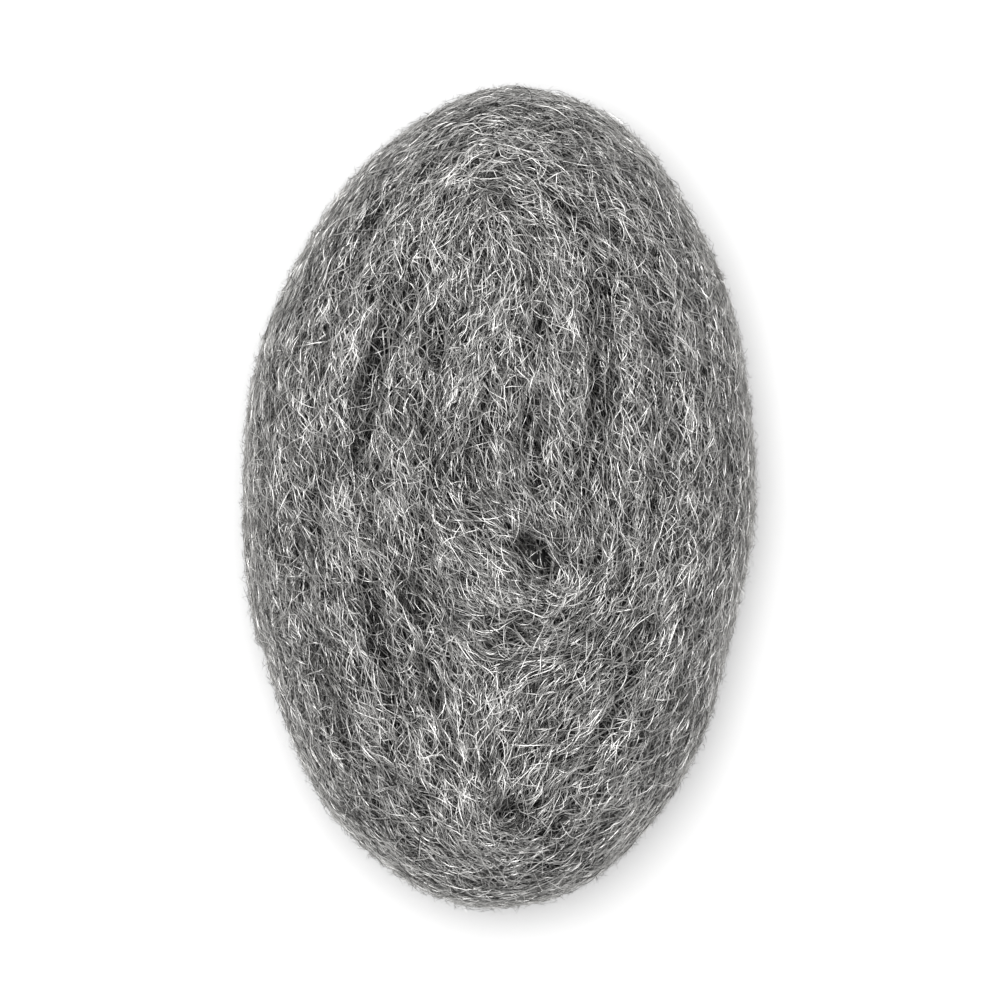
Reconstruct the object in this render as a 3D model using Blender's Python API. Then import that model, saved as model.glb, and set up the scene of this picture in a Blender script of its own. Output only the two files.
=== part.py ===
"""A wound oval pad of steel wool, lying flat on its face.

One long ribbon of wool is folded at its start and wound on edge into an oval coil, so the ribbon's
two edges make the broad faces and its last turn makes the rim.  The pad is one soft solid.

Frame: metres, +Z up, +Y along the pad's length, origin at the middle of the underside.
"""

import math

import bmesh
import bpy
import numpy as np

# Outside sizes of the pad.
PAD_LENGTH = 0.115
PAD_WIDTH = 0.072
PAD_THICKNESS = 0.027

# The section across the pad: where it is widest, and how square its shoulders are.
WIDEST_HEIGHT = 0.0125
CROWN_SQUARENESS = 3.4
SHOULDER_SQUARENESS = 2.3
PRESSED_DEPTH = 0.0014

# The winding: one turn's thickness at the pad's waist, and the furrow left between two turns. The
# turns wander by a share of their own thickness.
TURN_PITCH = 0.0086
TURN_START = 0.375
TURN_WANDER = 0.13
TURN_WANDERS = 3
TURN_WANDER_START = 1.0
TURN_FURROW_DEPTH = 0.0013
TURN_FURROW_HALF_WIDTH = 0.0016
FOLDED_START_WIDTH = 0.015
RIM_TURN = 0.0058

# The locks that a turn's wool lies in, and the long narrow openings that part them in rows along the
# winding. Two beats of openings, by (number to a turn, shift from turn to turn), make them come and go
# unevenly, and the rows wander by a share of their own spacing.
LOCK_ROWS_PER_TURN = 2
LOCK_BEATS = ((15, 0.8), (9, -1.3))
LOCK_OPENING_DEPTH = 0.0012
LOCK_OPENING_HALF_WIDTH = 0.0010
LOCK_WANDER = 0.25
LOCK_WANDERS = 7
LOCK_WANDER_SHIFT = 0.5

# The outline: its lean at the head, eased towards the tip, the flatter stretch of its side, its low
# lumps by (number round the pad, height, start), and the step of the ribbon's end, which fades out.
HEAD_LEAN = 0.0036
HEAD_TIP_EASING = 0.35
SIDE_FLAT_DEPTH = 0.0010
SIDE_FLAT_ANGLE = 5.9
SIDE_FLAT_SPREAD = 0.3
OUTLINE_LUMPS = ((5, 0.00022, 0.6), (11, 0.00015, 2.0))
RIBBON_END_ANGLE = 3.5
RIBBON_END_STEP = 0.0005
RIBBON_END_FADING = 6

# The low swells of a face, by (waves across it, waves along it, start).
FACE_LUMP = 0.0004
FACE_SWELLS = ((2.3, 1.1, 0.7), (1.4, -3.2, 1.57))

# The eyes where the winding turns back on itself, which run through the pad. Each has a depth and a
# half width in metres, and a path of (across, along) places in shares of the half width and length.
EYES = (
    ("head_eye", 0.0017, 0.0013, ((0.00, 0.72), (0.00, 0.74))),
    ("foot_eye", 0.0030, 0.0015, ((0.03, -0.76), (0.05, -0.76))),
    ("start_eye", 0.0030, 0.0016, ((0.13, -0.12), (0.17, -0.15))),
)

# The short hollows on the upper face only.
HOLLOWS = (
    ("under_start", 0.0020, 0.0013, ((0.09, -0.30), (0.13, -0.32))),
    ("low_left", 0.0024, 0.0012, ((-0.36, -0.21), (-0.30, -0.27))),
    ("low_left_below", 0.0022, 0.0013, ((-0.28, -0.40), (-0.25, -0.46))),
)

# The deeper gaps between turns on the upper face, which run out at their ends.
GAPS = (
    ("right", 0.0022, 0.0012, ((0.34, 0.70), (0.40, 0.50), (0.40, 0.30), (0.36, 0.12), (0.28, -0.02))),
    ("left", 0.0018, 0.0012, ((-0.20, 0.66), (-0.34, 0.50), (-0.50, 0.29), (-0.55, 0.12), (-0.50, -0.06))),
    ("outer_left", 0.0023, 0.0013, ((-0.73, 0.02), (-0.77, -0.16), (-0.72, -0.36), (-0.58, -0.66))),
    ("inner_left", 0.0019, 0.0012, ((0.03, 0.28), (-0.08, 0.18), (-0.08, 0.06), (0.02, -0.03))),
    ("inner_right", 0.0022, 0.0012, ((0.19, 0.27), (0.11, 0.15), (0.12, 0.06), (0.22, -0.01))),
    ("start_arm", 0.0011, 0.0018, ((0.12, -0.31), (0.30, -0.355), (0.52, -0.34), (0.70, -0.30))),
    ("outer_low_left", 0.0014, 0.0013, ((-0.52, -0.18), (-0.46, -0.33), (-0.36, -0.50))),
    ("low_right", 0.0012, 0.0014, ((0.62, -0.40), (0.55, -0.49), (0.40, -0.54))),
    ("foot_right", 0.0012, 0.0013, ((0.35, -0.62), (0.28, -0.70), (0.20, -0.76))),
    ("foot_left", 0.0012, 0.0013, ((-0.22, -0.76), (-0.36, -0.71), (-0.50, -0.62))),
    ("high_right", 0.0012, 0.0013, ((0.62, 0.45), (0.70, 0.26), (0.69, 0.04))),
)

# The share of a gap's or a welt's path over which each end runs out.
GAP_TAPER_SHARE = 0.3

# The welt of the folded start, which stands proud where it sweeps through the middle.
WELT_HEIGHT = 0.0011
WELT_HALF_WIDTH = 0.0024
WELTS = (
    ("sweep", ((0.04, 0.50), (-0.14, 0.33), (-0.24, 0.15), (-0.18, 0.02), (-0.03, -0.04), (0.07, -0.12))),
    ("hook", ((0.39, -0.04), (0.42, -0.15), (0.36, -0.23), (0.27, -0.28))),
)

# How finely the form is drawn, and the facets kept, which gather at the folds.
UPPER_RINGS = 80
LOWER_RINGS = 48
POINTS_PER_RING = 270
PATH_ROUNDINGS = 3
CORNER_CUT = 0.25
SECTION_POINTS = 400
FACETS = 11900
WELD_DISTANCE = 0.000001
LAND_FLATNESS = 0.00004

WOOL_COLOUR = (0.33, 0.33, 0.325, 1.0)
WOOL_ROUGHNESS = 0.55
WOOL_METALLIC = 0.8


def clear_scene():
    for leftover in list(bpy.data.objects):
        bpy.data.objects.remove(leftover)


def eye_distance():
    """Distance from the pad's middle to the two points that the turns bend round."""
    return math.sqrt((PAD_LENGTH / 2) ** 2 - (PAD_WIDTH / 2) ** 2)


def winding_place(turn_radius, angle):
    """The point of the turn whose half width is turn_radius, at an angle round the winding.

    All turns are ellipses with the same two foci: wide apart at the waist, crowded at head and foot.
    """
    turn_half_length = np.sqrt(turn_radius**2 + eye_distance() ** 2)
    return turn_radius * np.cos(angle), turn_half_length * np.sin(angle)


def smooth_step(value):
    share = np.clip(value, 0.0, 1.0)
    return share * share * (3.0 - 2.0 * share)


def turn_count(turn_radius, angle):
    """How many turns the ribbon has made there, whole in the furrow between two turns."""
    turn = turn_radius / TURN_PITCH - angle / (2.0 * math.pi) + TURN_START
    wander = np.sin(TURN_WANDERS * angle + turn_radius / TURN_PITCH + TURN_WANDER_START)
    return turn + TURN_WANDER * wander


def fold_share(turn_radius, angle):
    """How much of their full depth the folds have there: none on the rim, and less where the turns
    are crowded, at the head and foot."""
    spread = np.hypot(np.cos(angle), np.sin(angle) * turn_radius / np.hypot(turn_radius, eye_distance()))
    return spread * smooth_step((PAD_WIDTH / 2 - turn_radius) / RIM_TURN)


def turn_furrow(turn_radius, angle):
    """Depth of the spiral furrow between the turns."""
    turn = turn_count(turn_radius, angle)
    from_furrow = np.abs(turn - np.round(turn)) * TURN_PITCH
    return TURN_FURROW_DEPTH * np.exp(-((from_furrow / TURN_FURROW_HALF_WIDTH) ** 2))


def lock_openings(turn_radius, angle):
    """Depth of the openings between the locks, which follow the winding row by row."""
    outwards = 2.0 * math.pi * turn_radius / TURN_PITCH
    row = turn_count(turn_radius, angle) * LOCK_ROWS_PER_TURN
    row = row + LOCK_WANDER * np.sin(LOCK_WANDERS * angle + LOCK_WANDER_SHIFT * outwards)
    from_row = np.abs(row - np.round(row)) * TURN_PITCH / LOCK_ROWS_PER_TURN
    beat = sum(np.cos(number * angle + shift * outwards) for number, shift in LOCK_BEATS)
    depth = LOCK_OPENING_DEPTH * np.exp(-((from_row / LOCK_OPENING_HALF_WIDTH) ** 2))
    return depth * smooth_step(beat)


def rounded_path(path):
    """The path in metres, its corners cut again and again at the same share of each side."""
    knots = np.array(path) * (PAD_WIDTH / 2, PAD_LENGTH / 2)
    for _ in range(PATH_ROUNDINGS):
        near = (1.0 - CORNER_CUT) * knots[:-1] + CORNER_CUT * knots[1:]
        far = CORNER_CUT * knots[:-1] + (1.0 - CORNER_CUT) * knots[1:]
        cut = np.stack([near, far], axis=1).reshape(-1, 2)
        knots = np.concatenate([knots[:1], cut, knots[-1:]])
    return knots


def path_distance(across, along, path):
    """Distance from each point to a path, and the share of the path at its nearest point."""
    knots = rounded_path(path)
    lengths = np.hypot(*np.diff(knots, axis=0).T)
    starts = np.concatenate([[0.0], np.cumsum(lengths)]) / lengths.sum()
    nearest = np.full(across.shape, np.inf)
    nearest_share = np.zeros(across.shape)
    for place, length in enumerate(lengths):
        run = (knots[place + 1] - knots[place]) / length
        beside = (across - knots[place, 0]) * run[0] + (along - knots[place, 1]) * run[1]
        beside = np.clip(beside, 0.0, length)
        gap = np.hypot(
            across - knots[place, 0] - beside * run[0],
            along - knots[place, 1] - beside * run[1],
        )
        share = starts[place] + beside / lengths.sum()
        nearest_share = np.where(gap < nearest, share, nearest_share)
        nearest = np.minimum(gap, nearest)
    return nearest, nearest_share


def groove(across, along, path, depth, half_width):
    """Depth of a rounded groove along a path, whose ends are round too."""
    distance, _ = path_distance(across, along, path)
    return depth * np.exp(-((distance / half_width) ** 2))


def tapered_groove(across, along, path, depth, half_width):
    """Depth of a groove that runs out towards both ends of its path."""
    distance, share = path_distance(across, along, path)
    taper = smooth_step(np.minimum(share, 1.0 - share) / GAP_TAPER_SHARE)
    return depth * taper * np.exp(-((distance / half_width) ** 2))


def wound_folds(turn_radius, angle):
    """Depth of the furrows and of the openings between locks, on either face."""
    start = turn_radius / (FOLDED_START_WIDTH / 4)
    depth = turn_furrow(turn_radius, angle) * smooth_step(start - 1.0)
    depth += lock_openings(turn_radius, angle) * smooth_step(start)
    return depth * fold_share(turn_radius, angle)


def upper_relief(turn_radius, angle, across, along):
    """Height of the upper face's folds, measured from its smooth crown."""
    relief = -wound_folds(turn_radius, angle)
    for _, depth, half_width, path in EYES + HOLLOWS:
        relief -= groove(across, along, path, depth, half_width)
    for _, depth, half_width, path in GAPS:
        relief -= tapered_groove(across, along, path, depth, half_width)
    for _, path in WELTS:
        relief += tapered_groove(across, along, path, WELT_HEIGHT, WELT_HALF_WIDTH)
    return relief + face_lumps(across, along)


def lower_relief(turn_radius, angle, across, along):
    """The underside shows the other edge of the same turns, and the eyes that run through the pad."""
    relief = -wound_folds(turn_radius, angle)
    for _, depth, half_width, path in EYES:
        relief -= groove(across, along, path, depth, half_width)
    return relief - PRESSED_DEPTH / 2 + face_lumps(along, across)


def face_lumps(across, along):
    """The low swells over a face."""
    u = across / PAD_WIDTH * 2.0 * math.pi
    v = along / PAD_LENGTH * 2.0 * math.pi
    swells = [np.sin(in_width * u + in_length * v + start) for in_width, in_length, start in FACE_SWELLS]
    return FACE_LUMP * sum(swells) / len(swells)


def outline_swell(angle):
    """The outline's low lumps, its flatter stretch and the ribbon's end, in metres outwards."""
    lump = sum(height * np.sin(number * angle + start) for number, height, start in OUTLINE_LUMPS)
    from_flat = np.mod(angle - SIDE_FLAT_ANGLE + math.pi, 2.0 * math.pi) - math.pi
    flat = SIDE_FLAT_DEPTH * np.exp(-((from_flat / SIDE_FLAT_SPREAD) ** 2))
    past_end = np.mod(angle - RIBBON_END_ANGLE, 2.0 * math.pi) / (2.0 * math.pi)
    return lump - flat - RIBBON_END_STEP * (1.0 - past_end) ** RIBBON_END_FADING


def head_lean(along):
    """How far the outline leans to the right there."""
    head = np.clip(along / (PAD_LENGTH / 2), 0.0, 1.0)
    return HEAD_LEAN * head**2 * (1.0 - HEAD_TIP_EASING * head**4)


def section_rings(crown, count):
    """Rings from the middle of a face to the rim, evenly spaced over the section.

    The section is a superellipse: (r / half width)^CROWN + (h / crown)^SHOULDER = 1.
    Returns each ring's turn radius and its height above the widest line.
    """
    sweep = np.linspace(0.0, math.pi / 2, SECTION_POINTS)
    radius = PAD_WIDTH / 2 * np.sin(sweep) ** (2.0 / CROWN_SQUARENESS)
    height = crown * np.cos(sweep) ** (2.0 / SHOULDER_SQUARENESS)
    height[-1] = 0.0
    run = np.concatenate([[0.0], np.cumsum(np.hypot(np.diff(radius), np.diff(height)))])
    stops = np.linspace(0.0, run[-1], count + 1)
    return np.interp(stops, run, radius), np.interp(stops, run, height)


def face_points(crown, side, count, relief_of):
    """Points of one face, ring by ring from the middle out, up (side 1) or down (side -1)."""
    angle = np.linspace(0.0, 2.0 * math.pi, POINTS_PER_RING, endpoint=False)
    radii, heights = section_rings(crown, count)
    turn_radius, ring_angle = np.meshgrid(radii, angle, indexing="ij")
    across, along = winding_place(turn_radius, ring_angle)
    on_face = smooth_step((PAD_WIDTH / 2 - turn_radius) / (RIM_TURN / 2))
    relief = relief_of(turn_radius, ring_angle, across, along) * on_face
    height = WIDEST_HEIGHT + side * (heights[:, None] + relief)
    out = (turn_radius / (PAD_WIDTH / 2)) ** 2
    swell = outline_swell(ring_angle) * out
    across = across + np.cos(ring_angle) * swell + head_lean(along) * out
    along = along + np.sin(ring_angle) * swell
    return np.stack([across, along, np.maximum(height, 0.0)], axis=-1)


def fine_skin():
    """The pad's closed skin: both faces' rings joined at the rim and closed along the middle line."""
    upper = face_points(PAD_THICKNESS - WIDEST_HEIGHT, 1, UPPER_RINGS, upper_relief)
    lower = face_points(WIDEST_HEIGHT + PRESSED_DEPTH, -1, LOWER_RINGS, lower_relief)
    shape = bmesh.new()
    verts = [[shape.verts.new(point) for point in ring] for ring in np.concatenate([upper, lower[-2::-1]])]
    for inner, outer in zip(verts, verts[1:]):
        for place in range(POINTS_PER_RING):
            after = (place + 1) % POINTS_PER_RING
            shape.faces.new((inner[place], outer[place], outer[after], inner[after]))
    bmesh.ops.remove_doubles(shape, verts=verts[0] + verts[-1], dist=WELD_DISTANCE)
    bmesh.ops.triangulate(shape, faces=shape.faces[:])
    bmesh.ops.recalc_face_normals(shape, faces=shape.faces[:])
    mesh = bpy.data.meshes.new("fine_skin")
    shape.to_mesh(mesh)
    shape.free()
    return mesh


def thinned(mesh):
    """The same skin with its facets thinned out where it is plain."""
    holder = bpy.data.objects.new("fine_skin", mesh)
    bpy.context.scene.collection.objects.link(holder)
    thinning = holder.modifiers.new("thinning", "DECIMATE")
    thinning.ratio = FACETS / len(mesh.polygons)
    bpy.context.view_layer.update()
    thin = bpy.data.meshes.new_from_object(holder.evaluated_get(bpy.context.evaluated_depsgraph_get()))
    bpy.data.objects.remove(holder)
    return thin


def fit_to_sizes(mesh):
    """Brings the skin to the pad's outside sizes, centred over the origin, its land flat at the base."""
    points = np.empty(len(mesh.vertices) * 3)
    mesh.vertices.foreach_get("co", points)
    points = points.reshape(-1, 3)
    points[points[:, 2] < LAND_FLATNESS, 2] = 0.0
    low, high = points.min(axis=0), points.max(axis=0)
    middle = np.array([(low[0] + high[0]) / 2, (low[1] + high[1]) / 2, 0.0])
    points = (points - middle) * np.array([PAD_WIDTH, PAD_LENGTH, PAD_THICKNESS]) / (high - low)
    mesh.vertices.foreach_set("co", points.ravel())


def wool_material():
    material = bpy.data.materials.new("steel_wool")
    material.use_nodes = True
    shader = material.node_tree.nodes["Principled BSDF"]
    shader.inputs["Base Color"].default_value = WOOL_COLOUR
    shader.inputs["Roughness"].default_value = WOOL_ROUGHNESS
    shader.inputs["Metallic"].default_value = WOOL_METALLIC
    return material


def add_pad():
    mesh = thinned(fine_skin())
    fit_to_sizes(mesh)
    mesh.name = "steel_wool_pad"
    mesh.materials.append(wool_material())
    mesh.shade_smooth()
    pad = bpy.data.objects.new("steel_wool_pad", mesh)
    bpy.context.scene.collection.objects.link(pad)
    return pad


clear_scene()
add_pad()
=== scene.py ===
# Steel wool pad: an oval body of matted steel wound from one ribbon, covered in curling strands.
import math

import bpy
import numpy as np
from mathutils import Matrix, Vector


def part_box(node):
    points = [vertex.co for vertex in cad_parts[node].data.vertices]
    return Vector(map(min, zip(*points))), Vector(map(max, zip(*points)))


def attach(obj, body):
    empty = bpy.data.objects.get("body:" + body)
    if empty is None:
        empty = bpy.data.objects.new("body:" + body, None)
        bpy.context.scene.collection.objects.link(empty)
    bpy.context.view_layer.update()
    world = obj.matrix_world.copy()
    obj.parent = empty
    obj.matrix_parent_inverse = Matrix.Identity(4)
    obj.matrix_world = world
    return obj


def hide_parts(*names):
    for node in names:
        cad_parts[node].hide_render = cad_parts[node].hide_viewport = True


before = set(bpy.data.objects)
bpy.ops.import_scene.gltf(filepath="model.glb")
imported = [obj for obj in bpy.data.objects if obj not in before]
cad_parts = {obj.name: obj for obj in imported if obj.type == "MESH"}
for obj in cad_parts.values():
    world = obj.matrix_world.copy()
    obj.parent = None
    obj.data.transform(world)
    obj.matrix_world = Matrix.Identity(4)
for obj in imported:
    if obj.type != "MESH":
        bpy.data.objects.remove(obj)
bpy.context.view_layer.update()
mm = 0.001

# The pad's form, as its solid has it
padForm = {
    "halfWidth": 36.0 * mm,
    "halfLength": 57.5 * mm,
    "thickness": 27.0 * mm,
    "widestHeight": 12.5 * mm,
    "crownSquareness": 3.4,
    "shoulderSquareness": 2.3,
    "pressedDepth": 1.4 * mm,
    "turnPitch": 8.6 * mm,  # one turn of the ribbon, at the waist
    "turnStart": 0.375,
    "turnWander": 0.13,
    "turnWanders": 3,
    "turnWanderStart": 1.0,
    "furrowDepth": 1.3 * mm,
    "furrowHalfWidth": 1.6 * mm,
    "foldedStart": 15.0 * mm,
    "rimTurn": 5.8 * mm,
    "lockRows": 2,  # rows of openings between locks, to a turn
    "lockBeats": [(15, 0.8), (9, -1.3)],  # number to a turn, shift from turn to turn
    "lockDepth": 1.2 * mm,
    "lockHalfWidth": 1.0 * mm,
    "lockWander": 0.25,
    "lockWanders": 7,
    "lockWanderShift": 0.5,
    "headLean": 3.6 * mm,
    "headTipEasing": 0.35,
    "sideFlatDepth": 1.0 * mm,
    "sideFlatAngle": 5.9,
    "sideFlatSpread": 0.3,
    "outlineLumps": [(5, 0.22 * mm, 0.6), (11, 0.15 * mm, 2.0)],  # number, height, start
    "lowSide": (5.2, 0.35, 0.7 * mm),  # place, spread and depth of the strands' shallow dent there
    "ribbonEndAngle": 3.5,
    "ribbonEndStep": 0.5 * mm,
    "ribbonEndFading": 6,
    "faceLump": 0.4 * mm,
    "faceSwells": [(2.3, 1.1, 0.7), (1.4, -3.2, 1.57)],  # waves across, waves along, start
    "weltHeight": 1.1 * mm,
    "weltHalfWidth": 2.4 * mm,
    "taperShare": 0.3,  # how much of a gap's path each end runs out over
    "cornerCut": 0.25,  # how much of each side a rounding of a path's corners cuts off
    "cornerRoundings": 3,
    "sectionPlaces": 400,
    "measuredGrid": (160, 240),  # rings and points on the skin that is measured against the solid's box
}

# Each place is (across, along) in shares of the half width and half length; depth and half width in mm.
eyes = [
    (1.7, 1.3, [(0.00, 0.72), (0.00, 0.74)]),
    (3.0, 1.5, [(0.03, -0.76), (0.05, -0.76)]),
    (3.0, 1.6, [(0.13, -0.12), (0.17, -0.15)]),
]
hollows = [
    (2.0, 1.3, [(0.09, -0.30), (0.13, -0.32)]),
    (2.4, 1.2, [(-0.36, -0.21), (-0.30, -0.27)]),
    (2.2, 1.3, [(-0.28, -0.40), (-0.25, -0.46)]),
]
gaps = [
    (2.2, 1.2, [(0.34, 0.70), (0.40, 0.50), (0.40, 0.30), (0.36, 0.12), (0.28, -0.02)]),
    (1.8, 1.2, [(-0.20, 0.66), (-0.34, 0.50), (-0.50, 0.29), (-0.55, 0.12), (-0.50, -0.06)]),
    (2.3, 1.3, [(-0.73, 0.02), (-0.77, -0.16), (-0.72, -0.36), (-0.58, -0.66)]),
    (1.9, 1.2, [(0.03, 0.28), (-0.08, 0.18), (-0.08, 0.06), (0.02, -0.03)]),
    (2.2, 1.2, [(0.19, 0.27), (0.11, 0.15), (0.12, 0.06), (0.22, -0.01)]),
    (1.1, 1.8, [(0.12, -0.31), (0.30, -0.355), (0.52, -0.34), (0.70, -0.30)]),
    (1.4, 1.3, [(-0.52, -0.18), (-0.46, -0.33), (-0.36, -0.50)]),
    (1.2, 1.4, [(0.62, -0.40), (0.55, -0.49), (0.40, -0.54)]),
    (1.2, 1.3, [(0.35, -0.62), (0.28, -0.70), (0.20, -0.76)]),
    (1.2, 1.3, [(-0.22, -0.76), (-0.36, -0.71), (-0.50, -0.62)]),
    (1.2, 1.3, [(0.62, 0.45), (0.70, 0.26), (0.69, 0.04)]),
]
welts = [
    [(0.04, 0.50), (-0.14, 0.33), (-0.24, 0.15), (-0.18, 0.02), (-0.03, -0.04), (0.07, -0.12)],
    [(0.39, -0.04), (0.42, -0.15), (0.36, -0.23), (0.27, -0.28)],
]
eyeDistance = math.sqrt(padForm["halfLength"] ** 2 - padForm["halfWidth"] ** 2)


def smoothStep(value):  # 3v^2 - 2v^3, held to 0..1
    share = np.clip(value, 0.0, 1.0)
    return share * share * (3.0 - 2.0 * share)


def windingPlace(turnRadius, angle):
    # a turn is an ellipse: x = r cos(angle), y = sqrt(r^2 + eye distance^2) sin(angle)
    return turnRadius * np.cos(angle), np.hypot(turnRadius, eyeDistance) * np.sin(angle)


def windingOf(x, y):
    # the turn through a point: its half length is half the sum of the distances to the two eyes
    halfLength = (np.hypot(x, y - eyeDistance) + np.hypot(x, y + eyeDistance)) / 2
    turnRadius = np.sqrt(np.maximum(halfLength**2 - eyeDistance**2, 1e-14))
    return turnRadius, np.arctan2(y / halfLength, x / turnRadius)


def turnSpread(turnRadius, angle):
    # how far the turns stand apart there, 1 at the waist and least by the eyes: the root of
    # cos(angle)^2 + (sin(angle) x half width / half length of the turn)^2
    return np.hypot(np.cos(angle), np.sin(angle) * turnRadius / np.hypot(turnRadius, eyeDistance))


def turnCount(turnRadius, angle):
    # turns made there: radius / pitch - angle / 2 pi + start, with a wander; whole in a furrow
    form = padForm
    pitches = turnRadius / form["turnPitch"]
    wander = np.sin(form["turnWanders"] * angle + pitches + form["turnWanderStart"])
    return pitches - angle / (2 * math.pi) + form["turnStart"] + form["turnWander"] * wander


def turnFurrow(turnRadius, angle):
    # a bell-shaped furrow wherever the turn count is whole
    turn = turnCount(turnRadius, angle)
    away = np.abs(turn - np.round(turn)) * padForm["turnPitch"]
    return padForm["furrowDepth"] * np.exp(-((away / padForm["furrowHalfWidth"]) ** 2))


def lockOpenings(turnRadius, angle):
    # bell-shaped openings in rows along the winding, which come and go with the sum of two cosines
    form = padForm
    outwards = 2 * math.pi * turnRadius / form["turnPitch"]
    row = turnCount(turnRadius, angle) * form["lockRows"]
    row = row + form["lockWander"] * np.sin(form["lockWanders"] * angle + form["lockWanderShift"] * outwards)
    away = np.abs(row - np.round(row)) * form["turnPitch"] / form["lockRows"]
    beat = sum(np.cos(number * angle + shift * outwards) for number, shift in form["lockBeats"])
    return form["lockDepth"] * np.exp(-((away / form["lockHalfWidth"]) ** 2)) * smoothStep(beat)


def woundFolds(turnRadius, angle):
    # furrows and openings, none on the rim or at the start, and less where the turns crowd
    start = turnRadius / (padForm["foldedStart"] / 4)
    depth = turnFurrow(turnRadius, angle) * smoothStep(start - 1)
    depth = depth + lockOpenings(turnRadius, angle) * smoothStep(start)
    insideRim = smoothStep((padForm["halfWidth"] - turnRadius) / padForm["rimTurn"])
    return depth * turnSpread(turnRadius, angle) * insideRim


def roundedPath(path):
    # corners cut at a share of each side, a few times over: a quadratic curve's points
    cutOff = padForm["cornerCut"]
    knots = np.array(path) * (padForm["halfWidth"], padForm["halfLength"])
    for _ in range(padForm["cornerRoundings"]):
        near = (1 - cutOff) * knots[:-1] + cutOff * knots[1:]
        far = cutOff * knots[:-1] + (1 - cutOff) * knots[1:]
        cut = np.stack([near, far], axis=1).reshape(-1, 2)
        knots = np.concatenate([knots[:1], cut, knots[-1:]])
    return knots


def pathDistance(x, y, path):
    # distance to the nearest side of the path, and the share of the path there
    knots = roundedPath(path)
    lengths = np.hypot(*np.diff(knots, axis=0).T)
    starts = np.concatenate([[0.0], np.cumsum(lengths)]) / lengths.sum()
    nearest, nearestShare = np.full(x.shape, np.inf), np.zeros(x.shape)
    for place, length in enumerate(lengths):
        run = (knots[place + 1] - knots[place]) / length
        offX, offY = x - knots[place, 0], y - knots[place, 1]
        beside = np.clip(offX * run[0] + offY * run[1], 0.0, length)
        gap = np.hypot(offX - beside * run[0], offY - beside * run[1])
        nearestShare = np.where(gap < nearest, starts[place] + beside / lengths.sum(), nearestShare)
        nearest = np.minimum(gap, nearest)
    return nearest, nearestShare


def groove(x, y, path, depth, halfWidth, tapered):
    # a bell-shaped groove along a path, run out at its ends if it is tapered
    distance, share = pathDistance(x, y, path)
    taper = smoothStep(np.minimum(share, 1 - share) / padForm["taperShare"]) if tapered else 1.0
    return depth * taper * np.exp(-((distance / halfWidth) ** 2))


def eyeDepth(x, y, upper=True):
    # how deep the eyes are there, and the hollows of the upper face: the sum of their grooves
    shown = eyes + hollows if upper else eyes
    return sum(groove(x, y, path, deep * mm, wide * mm, False) for deep, wide, path in shown)


def gapDepth(x, y):
    # how deep the gaps are there: the sum of their grooves
    return sum(groove(x, y, path, deep * mm, wide * mm, True) for deep, wide, path in gaps)


def faceLumps(x, y):
    # the mean of sines that cross the face
    u, v = x / padForm["halfWidth"] * math.pi, y / padForm["halfLength"] * math.pi
    waves = padForm["faceSwells"]
    swells = [np.sin(inWidth * u + inLength * v + start) for inWidth, inLength, start in waves]
    return padForm["faceLump"] * sum(swells) / len(swells)


def upperRelief(turnRadius, angle, x, y):
    # height over the plain crown: welts and lumps, less folds, eyes and gaps
    welt = sum(groove(x, y, path, padForm["weltHeight"], padForm["weltHalfWidth"], True) for path in welts)
    return welt - woundFolds(turnRadius, angle) - eyeDepth(x, y) - gapDepth(x, y) + faceLumps(x, y)


def lowerRelief(turnRadius, angle, x, y):
    # the same below, pressed flatter, with the eyes running through and no gaps or welts
    lumps = faceLumps(y, x) - padForm["pressedDepth"] / 2
    return lumps - woundFolds(turnRadius, angle) - eyeDepth(x, y, upper=False)


def outlineSwell(angle):
    # low sine lumps, a bell-shaped flat on one side, and the ribbon's end, a step that fades out
    form = padForm
    lump = sum(height * np.sin(number * angle + start) for number, height, start in form["outlineLumps"])
    fromFlat = np.mod(angle - form["sideFlatAngle"] + math.pi, 2 * math.pi) - math.pi
    flat = form["sideFlatDepth"] * np.exp(-((fromFlat / form["sideFlatSpread"]) ** 2))
    pastEnd = np.mod(angle - form["ribbonEndAngle"], 2 * math.pi) / (2 * math.pi)
    return lump - flat - form["ribbonEndStep"] * (1 - pastEnd) ** form["ribbonEndFading"]


def headLean(y):
    # the head leans to the right by the square of the share of its length, eased at the tip
    head = np.clip(y / padForm["halfLength"], 0, 1)
    return padForm["headLean"] * head**2 * (1 - padForm["headTipEasing"] * head**4)


def sectionOf(crown):
    # (r / half width)^crown squareness + (h / crown)^shoulder squareness = 1, by distance along it
    sweep = np.linspace(0.0, math.pi / 2, padForm["sectionPlaces"])
    radius = padForm["halfWidth"] * np.sin(sweep) ** (2 / padForm["crownSquareness"])
    height = crown * np.abs(np.cos(sweep)) ** (2 / padForm["shoulderSquareness"])
    height[-1] = 0.0
    run = np.concatenate([[0.0], np.cumsum(np.hypot(np.diff(radius), np.diff(height)))])
    return run, radius, height


upperCrown = padForm["thickness"] - padForm["widestHeight"]
lowerCrown = padForm["widestHeight"] + padForm["pressedDepth"]
upperSection, lowerSection = sectionOf(upperCrown), sectionOf(lowerCrown)
sectionRun = upperSection[0][-1] + lowerSection[0][-1]  # from the middle of the top to the middle below
rimRun = upperSection[0][-1]


def sectionAt(run):
    # turn radius, height from the widest line, and side (1 above, -1 below) at a distance along the section
    above = run <= rimRun
    radius = np.where(
        above, np.interp(run, *upperSection[:2]), np.interp(sectionRun - run, *lowerSection[:2])
    )
    height = np.where(
        above, np.interp(run, upperSection[0], upperSection[2]),
        np.interp(sectionRun - run, lowerSection[0], lowerSection[2]),
    )
    return radius, height, np.where(above, 1.0, -1.0)


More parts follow.
